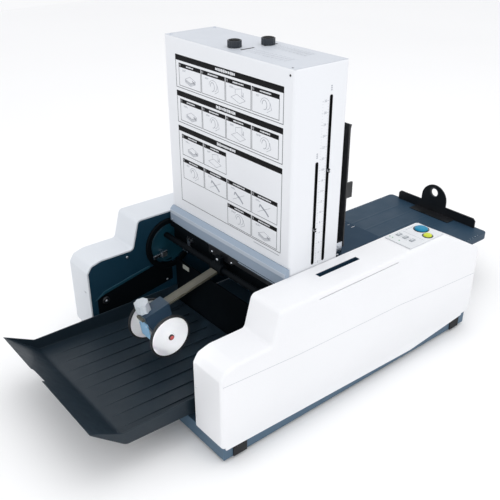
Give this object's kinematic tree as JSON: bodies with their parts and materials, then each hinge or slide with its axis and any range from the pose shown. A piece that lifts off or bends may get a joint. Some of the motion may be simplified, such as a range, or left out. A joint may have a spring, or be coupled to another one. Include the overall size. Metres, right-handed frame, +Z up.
{
  "type": "paper-folding machine",
  "caption": "Tabletop buckle paper folder with an upright fold-plate tower, a feed table with a rear stop, and a delivery tray under stacker wheels.",
  "frame": {"origin": "middle of the overall length and depth, on the surface that the feet stand on", "axes": "+X from the delivery tray towards the feed table, +Y away from the operator's side, +Z up"},
  "size_m": [1.097, 0.53, 0.6434],
  "materials": {
    "cover_white": "fine textured satin",
    "tower_white": "satin",
    "base_blue_grey": "satin",
    "frame_dark_teal": "satin",
    "black_paint": "satin",
    "black_plastic": "matt",
    "rubber_black": "matt",
    "strip_blue_grey": "satin",
    "steel": "brushed",
    "bright_bracket": "bright zinc",
    "roller_grey": "ground",
    "gear_nylon": "matt",
    "table_slate": "satin",
    "tray_slate": "satin",
    "rail_bronze_grey": "satin metallic",
    "knob_charcoal": "matt",
    "thumb_knob_grey": "matt",
    "wheel_white": "gloss",
    "panel_grey": "satin film",
    "start_blue": "gloss",
    "stop_yellow_green": "gloss",
    "key_grey": "matt"
  },
  "bodies": {
    "frame": {"base_pan": "base_blue_grey", "foot_delivery_near": "rubber_black", "foot_delivery_far": "rubber_black", "foot_feed_near": "rubber_black", "foot_feed_far": "rubber_black", "cover_near": "cover_white", "cover_far": "cover_white", "side_frame_near": "frame_dark_teal", "side_frame_far": "frame_dark_teal", "round_cover_rim": "black_paint", "delivery_bulkhead": "frame_dark_teal", "tower_housing": "tower_white", "front_strip": "strip_blue_grey", "strip_bracket": "black_paint", "fold_plate_front": "steel", "fold_plate_rear": "steel", "panel_bracket": "bright_bracket", "drive_motor": "steel", "feed_table": "table_slate", "feed_deck": "table_slate", "separator_pad": "black_plastic", "delivery_tray": "tray_slate", "stacker_cross_bar": "black_paint", "control_panel": "panel_grey", "power_inlet": "black_plastic"},
    "front_stop": {"fold_stop_front": "steel"},
    "rear_fold_stop": {"fold_stop_rear": "steel"},
    "front_knob": {"stop_knob_front": "knob_charcoal", "lead_screw_front": "steel"},
    "rear_knob": {"stop_knob_rear": "knob_charcoal", "lead_screw_rear": "steel"},
    "back_panel": {"rear_panel": "black_paint"},
    "delivery_roller": {"fold_roller_delivery": "roller_grey", "gear_fold_roller_delivery": "gear_nylon"},
    "middle_roller": {"fold_roller_middle": "roller_grey", "gear_fold_roller_middle": "gear_nylon"},
    "feed_side_roller": {"fold_roller_feed": "roller_grey", "gear_fold_roller_feed": "gear_nylon"},
    "pinion": {"motor_pinion": "gear_nylon"},
    "pickup_roller": {"feed_roller": "rubber_black"},
    "near_guide": {"side_guide_near": "steel"},
    "far_guide": {"side_guide_far": "steel"},
    "sheet_stop": {"rear_stop": "black_paint"},
    "clamp": {"stacker_clamp": "black_paint"},
    "stacker_arm": {"stacker_rail": "rail_bronze_grey"},
    "stacker_carriage": {"stacker_head": "knob_charcoal", "stacker_axle": "steel"},
    "thumb_knob": {"stacker_thumb_knob": "thumb_knob_grey"},
    "near_wheel": {"wheel_near": "wheel_white", "tyre_near": "rubber_black"},
    "far_wheel": {"wheel_far": "wheel_white", "tyre_far": "rubber_black"},
    "start": {"start_button": "start_blue"},
    "stop": {"stop_button": "stop_yellow_green"},
    "key_one": {"key_1": "key_grey"},
    "key_two": {"key_2": "key_grey"},
    "key_three": {"key_3": "key_grey"},
    "mains_switch": {"power_switch": "black_plastic"}
  },
  "joints": [
    {"name": "front_knob_turn", "type": "hinge", "parent": "frame", "child": "front_knob", "pos_m": [-0.1115, 0.004, 0.631], "axis": [0, 0, 1], "range_deg": [-860, 1648]},
    {"name": "front_stop_travel", "type": "slide", "parent": "frame", "child": "front_stop", "axis": [0, 0, 1], "range_m": [-0.06, 0.115]},
    {"name": "rear_knob_turn", "type": "hinge", "parent": "frame", "child": "rear_knob", "pos_m": [-0.0515, -0.0165, 0.631], "axis": [0, 0, 1], "range_deg": [-2364, 1720]},
    {"name": "rear_stop_travel", "type": "slide", "parent": "frame", "child": "rear_fold_stop", "axis": [0, 0, 1], "range_m": [-0.165, 0.12]},
    {"name": "back_panel_hinge", "type": "hinge", "parent": "frame", "child": "back_panel", "pos_m": [0.0045, 0, 0.274], "axis": [0, 1, 0], "range_deg": [0, 75]},
    {"name": "middle_roller_spin", "type": "hinge", "parent": "frame", "child": "middle_roller", "pos_m": [-0.0825, 0, 0.205], "axis": [0, 1, 0], "continuous": true},
    {"name": "delivery_roller_spin", "type": "hinge", "parent": "frame", "child": "delivery_roller", "pos_m": [-0.119, 0, 0.205], "axis": [0, 1, 0], "continuous": true},
    {"name": "feed_side_roller_spin", "type": "hinge", "parent": "frame", "child": "feed_side_roller", "pos_m": [-0.046, 0, 0.205], "axis": [0, 1, 0], "continuous": true},
    {"name": "pinion_spin", "type": "hinge", "parent": "frame", "child": "pinion", "pos_m": [-0.046, 0, 0.17514], "axis": [0, 1, 0], "continuous": true},
    {"name": "pickup_roller_spin", "type": "hinge", "parent": "frame", "child": "pickup_roller", "pos_m": [0.0485, -0.0015, 0.1075], "axis": [0, 1, 0], "continuous": true},
    {"name": "far_guide_slide", "type": "slide", "parent": "frame", "child": "far_guide", "axis": [0, 1, 0], "range_m": [-0.1, 0.02]},
    {"name": "near_guide_slide", "type": "slide", "parent": "frame", "child": "near_guide", "axis": [0, 1, 0], "range_m": [-0.02, 0.1]},
    {"name": "sheet_stop_slide", "type": "slide", "parent": "frame", "child": "sheet_stop", "axis": [1, 0, 0], "range_m": [-0.215, 0]},
    {"name": "clamp_slide", "type": "slide", "parent": "frame", "child": "clamp", "axis": [0, 1, 0], "range_m": [-0.1, 0.1]},
    {"name": "stacker_arm_lift", "type": "hinge", "parent": "clamp", "child": "stacker_arm", "pos_m": [-0.1635, -0.0045, 0.2105], "axis": [0, 1, 0], "range_deg": [-6, 35]},
    {"name": "stacker_carriage_slide", "type": "slide", "parent": "stacker_arm", "child": "stacker_carriage", "axis": [-0.9736, 0, -0.2284], "range_m": [-0.012, 0.004]},
    {"name": "thumb_knob_turn", "type": "hinge", "parent": "stacker_carriage", "child": "thumb_knob", "pos_m": [-0.33553, 0.0015, 0.17775], "axis": [-0.2284, 0, 0.9736], "range_deg": [-90, 90]},
    {"name": "near_wheel_spin", "type": "hinge", "parent": "stacker_carriage", "child": "near_wheel", "pos_m": [-0.3095, -0.04325, 0.132], "axis": [0, 1, 0], "continuous": true},
    {"name": "far_wheel_spin", "type": "hinge", "parent": "stacker_carriage", "child": "far_wheel", "pos_m": [-0.3095, 0.03425, 0.132], "axis": [0, 1, 0], "continuous": true},
    {"name": "start_press", "type": "slide", "parent": "frame", "child": "start", "axis": [0, 0, 1], "range_m": [-0.002, 0], "stiffness_N_per_m": 400, "springref_m": 0.0006},
    {"name": "stop_press", "type": "slide", "parent": "frame", "child": "stop", "axis": [0, 0, 1], "range_m": [-0.002, 0], "stiffness_N_per_m": 400, "springref_m": 0.0006},
    {"name": "key_one_press", "type": "slide", "parent": "frame", "child": "key_one", "axis": [0, 0, 1], "range_m": [-0.0012, 0], "stiffness_N_per_m": 300, "springref_m": 0.0006},
    {"name": "key_two_press", "type": "slide", "parent": "frame", "child": "key_two", "axis": [0, 0, 1], "range_m": [-0.0012, 0], "stiffness_N_per_m": 300, "springref_m": 0.0006},
    {"name": "key_three_press", "type": "slide", "parent": "frame", "child": "key_three", "axis": [0, 0, 1], "range_m": [-0.0012, 0], "stiffness_N_per_m": 300, "springref_m": 0.0006},
    {"name": "mains_switch_rock", "type": "hinge", "parent": "frame", "child": "mains_switch", "pos_m": [0.3335, 0.227, 0.118], "axis": [0, 1, 0], "range_deg": [-12, 0]}
  ],
  "couplings": [
    {"joint": "front_knob_turn", "follows": "front_stop_travel", "rad_per_m": 250},
    {"joint": "rear_knob_turn", "follows": "rear_stop_travel", "rad_per_m": 250},
    {"joint": "delivery_roller_spin", "follows": "middle_roller_spin", "ratio": -1},
    {"joint": "feed_side_roller_spin", "follows": "middle_roller_spin", "ratio": -1},
    {"joint": "pinion_spin", "follows": "middle_roller_spin", "ratio": 1.5714},
    {"joint": "near_guide_slide", "follows": "far_guide_slide", "ratio": -1}
  ]
}
